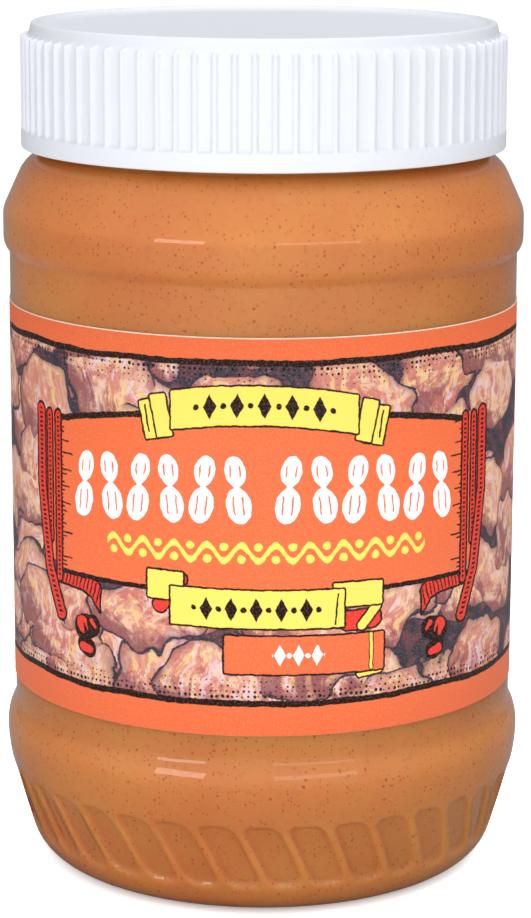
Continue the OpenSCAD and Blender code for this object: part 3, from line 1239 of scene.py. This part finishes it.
    def vine(self) -> None:
        """Lays down a thin yellow wave with a bead in each bend."""
        local = self.repeated(self.rough, self.WAVE_PITCH, 0.65)[0]
        across, up = local.parts()
        wave = (across * (2 * math.pi / self.WAVE_PITCH)).sine() * self.WAVE_HALF + self.WAVE_UP
        line = abs(up - wave) * 0.6
        bend = (1.25, 0.9)
        beads = local.far((bend[0], self.WAVE_UP - bend[1])).least(
            local.far((-bend[0], self.WAVE_UP + bend[1])))
        mark = self.inside(line, 0.3).most(self.inside(beads, 0.62))
        self.paint(Ink.YELLOW, mark, self.inside(self.box(self.place, (0.65, self.WAVE_UP), (24.4, 3.0))))

    def row(self, place: Triple, centre: tuple, half_length: float, pitch: float, ink: Ink,
            size: float = 1.0) -> None:
        """Lays down a row of lozenges with a dot between each two.

        Args:
            place: Places, bent with the ribbon that carries the row.
            centre: Middle of the row.
            half_length: Half the row's length.
            pitch: Distance between lozenges.
            ink: The row's colour.
            size: Size of the lozenges, as a share of the plain one.
        """
        local = self.repeated(place, pitch, centre[0])[0]
        off = abs(local - (0.0, centre[1]))
        lozenge = off.dot((1.0 / (0.95 * size), 1.0 / (1.75 * size)))
        dot = off.far((pitch / 2, 0.0))
        mark = self.inside(lozenge, 1.0, 0.1).most(self.inside(dot, 0.42 * size))
        self.paint(ink, mark, self.inside(self.box(self.place, centre, (half_length, 4.0))))

    def ribbons(self) -> None:
        """Lays down the two yellow ribbons and the small orange one, with their folded ends."""
        bent = self.bent(self.rough, 0.0073, 0.02)
        across, up = self.mirrored(bent, 0.2).parts()
        ends = self.point((47.5 - up) * 0.2 + across, up)
        self.shape(self.box(ends, (16.1, 47.4), (1.9, 3.0)), Ink.YELLOW)
        self.shape(self.box(ends, (14.9, 47.7), (1.3, 3.25)), Ink.YELLOW)
        self.paint(Ink.BROWN, self.inside(self.bar(ends, (17.2, 45.6), (17.0, 49.6)), 0.14))
        self.shape(self.box(bent, (0.25, 48.3), (13.6, 2.9)), Ink.YELLOW)
        self.row(bent, (0.25, 48.3), 10.2, 3.9, Ink.BROWN, 1.05)
        place = self.bent(self.rough, 0.0, 0.012)
        self.shape(self.bar(place, (-15.0, 18.6), (-12.0, 22.6)), Ink.RED, 1.2)
        self.shape(self.box(place, (-14.2, 21.6), (2.9, 2.2)), Ink.YELLOW)
        self.shape(self.bar(place, (12.4, 16.8), (16.2, 17.0)), Ink.RED, 1.5)
        self.shape(self.bar(place, (14.6, 16.0), (17.0, 18.8)), Ink.YELLOW, 0.8)
        self.shape(self.box(place, (14.0, 20.7), (3.9, 1.9)), Ink.YELLOW)
        self.shape(self.box(place, (-0.75, 18.75), (12.75, 2.9)), Ink.YELLOW)
        self.paint(Ink.BROWN, self.inside(self.bar(place, (10.6, 16.4), (10.9, 20.8)), 0.13))
        self.row(place, (-0.9, 18.7), 9.6, 3.6, Ink.BROWN)
        self.shape(self.bar(place, (14.4, 8.9), (17.4, 9.3)), Ink.YELLOW, 0.7)
        self.shape(self.box(place, (6.3, 12.0), (11.9, 2.9)), Ink.ORANGE)
        self.shape(self.bar(place, (16.1, 9.6), (16.1, 14.6)), Ink.YELLOW, 0.3, 0.16)
        self.row(place, (5.2, 12.0), 3.8, 2.7, Ink.WHITE, 0.9)

    def finished(self) -> bpy.types.Material:
        """Lays down every layer.

        Returns:
            The material.
        """
        for layer in (self.ground, self.stipple, self.bands, self.panel, self.pods, self.vine,
                      self.ribbons):
            layer()
        self.paint(Ink.PAPER, self.between(self.noise(self.place, 3.2), 0.5, 0.8) * 0.12)
        self.principled(Base_Color=self.colour, Roughness=0.45, Specular_IOR_Level=0.18)
        return self.owner


# ---------------------------------------------------------------- studio


@dataclass(frozen=True)
class Lamp:
    """A soft rectangular lamp aimed at a point of the jar's axis, in millimetres."""

    name: str
    place: Point
    size: tuple[float, float]
    watts: float
    mirrored: bool = False
    aim_z: float = 70.0

    def light(self) -> None:
        """Adds the lamp."""
        data = bpy.data.lights.new(self.name, "AREA")
        data.shape, data.size, data.size_y = "RECTANGLE", self.size[0] * MM, self.size[1] * MM
        data.energy = self.watts
        lamp = bpy.data.objects.new(self.name, data)
        lamp.location = Vector(self.place) * MM
        lamp.visible_glossy = self.mirrored
        away = lamp.location - Vector((0.0, 0.0, self.aim_z)) * MM
        lamp.rotation_euler = away.to_track_quat("Z", "Y").to_euler()
        bpy.context.scene.collection.objects.link(lamp)


@dataclass(frozen=True)
class Studio:
    """Pale floor, white surround, soft lamps and the camera."""

    eye: Point = (0.0, -449.854, 160.383)
    tilt: float = 12.447
    roll: float = 0.1707
    yaw: float = -0.052
    lens: float = 117.78
    floor_r: float = 300.0
    floor_tint: Rgba = (0.94, 0.94, 0.94, 1.0)
    floor_mirrored: Rgba = (0.35, 0.35, 0.35, 1.0)
    #: Radii between which the floor starts to glow, and its glow for diffuse rays
    glow_from: float = 29.5
    glow_to: float = 36.0
    glow_share: float = 0.3
    #: Strength of the surround where it is seen, and as a light from behind and from the front
    surround_seen: float = 1.1
    surround_back: float = 0.28
    surround_front: float = 0.75
    lamps: tuple[Lamp, ...] = (
        Lamp("key_lamp", (-320.0, -1100.0, 200.0), (900.0, 600.0), 3.5),
        Lamp("fill_lamp", (450.0, -1080.0, 160.0), (1100.0, 600.0), 2.0),
        Lamp("top_lamp", (150.0, 100.0, 1100.0), (900.0, 900.0), 7.4),
        Lamp("left_strip", (-630.0, -870.0, 330.0), (420.0, 220.0), 1.1, True),
        Lamp("right_strip", (420.0, -980.0, 330.0), (700.0, 160.0), 0.5, True),
    )

    def camera(self) -> None:
        """Adds the camera and makes it the scene's."""
        data = bpy.data.cameras.new("camera")
        data.lens, data.sensor_width = self.lens, 36.0
        data.clip_start, data.clip_end = 0.01, 20.0
        camera = bpy.data.objects.new("camera", data)
        turn = (Matrix.Rotation(math.radians(self.yaw), 4, "Z")
                @ Matrix.Rotation(math.radians(90.0 - self.tilt), 4, "X")
                @ Matrix.Rotation(math.radians(self.roll), 4, "Z"))
        camera.matrix_world = Matrix.Translation(Vector(self.eye) * MM) @ turn
        bpy.context.scene.collection.objects.link(camera)
        bpy.context.scene.camera = camera

    def floor(self) -> None:
        """Adds a pale disc that looks as white as the surround, but for the shade beside the jar."""
        turn = np.linspace(0.0, 2.0 * math.pi, 129)[:-1]
        rim = turned_points(np.full_like(turn, self.floor_r), np.zeros_like(turn), turn)
        floor = made_piece("floor", rim, [tuple(range(len(rim)))])
        graph = Graph(bpy.data.materials.new("floor_white"))
        rays = graph.node("LightPath")
        camera_ray, diffuse_ray, glossy_ray = (
            graph.number(rays, f"Is {kind} Ray") for kind in ("Camera", "Diffuse", "Glossy"))
        tint = graph.mix(glossy_ray, self.floor_tint, self.floor_mirrored)
        matte = graph.principled(Base_Color=tint, Roughness=0.8, Specular_IOR_Level=0.2)
        far = graph.between(graph.millimetres().length(), self.glow_from, self.glow_to)
        glow = graph.node("Emission", {"Strength": far * (diffuse_ray * self.glow_share + camera_ray)})
        graph.show(graph.node("AddShader", (matte, glow)))
        floor.data.materials.append(graph.owner)

    def surround(self) -> None:
        """Adds the surround: white where it is seen, and a light stronger in front than behind."""
        graph = Graph(bpy.data.worlds.new("surround"), "OutputWorld")
        facing = graph.triple(graph.node("TexCoord"), "Generated").dot((0.0, -0.85, 0.5))
        level = graph.node("MapRange", (facing, -0.4, 0.9, self.surround_back, self.surround_front),
                           interpolation_type="SMOOTHSTEP")
        light, seen = (graph.node("Background", ((1.0, 1.0, 1.0, 1.0), strength))
                       for strength in (level, self.surround_seen))
        path = graph.node("LightPath").outputs["Is Camera Ray"]
        graph.show(graph.node("MixShader", (path, light, seen)))
        bpy.context.scene.world = graph.owner
        bpy.context.scene.view_settings.view_transform = "Standard"

    def set_up(self) -> None:
        """Adds everything."""
        self.floor()
        self.surround()
        for lamp in self.lamps:
            lamp.light()
        self.camera()


def main() -> None:
    """Builds the jar, its contents, cap and label, and the studio round them."""
    logging.basicConfig(level=logging.INFO, format="%(name)s: %(message)s")
    for sub_assembly in (JarBody(), Cap(), Label()):
        sub_assembly.make()
    Studio().set_up()


if __name__ == "__main__":
    main()
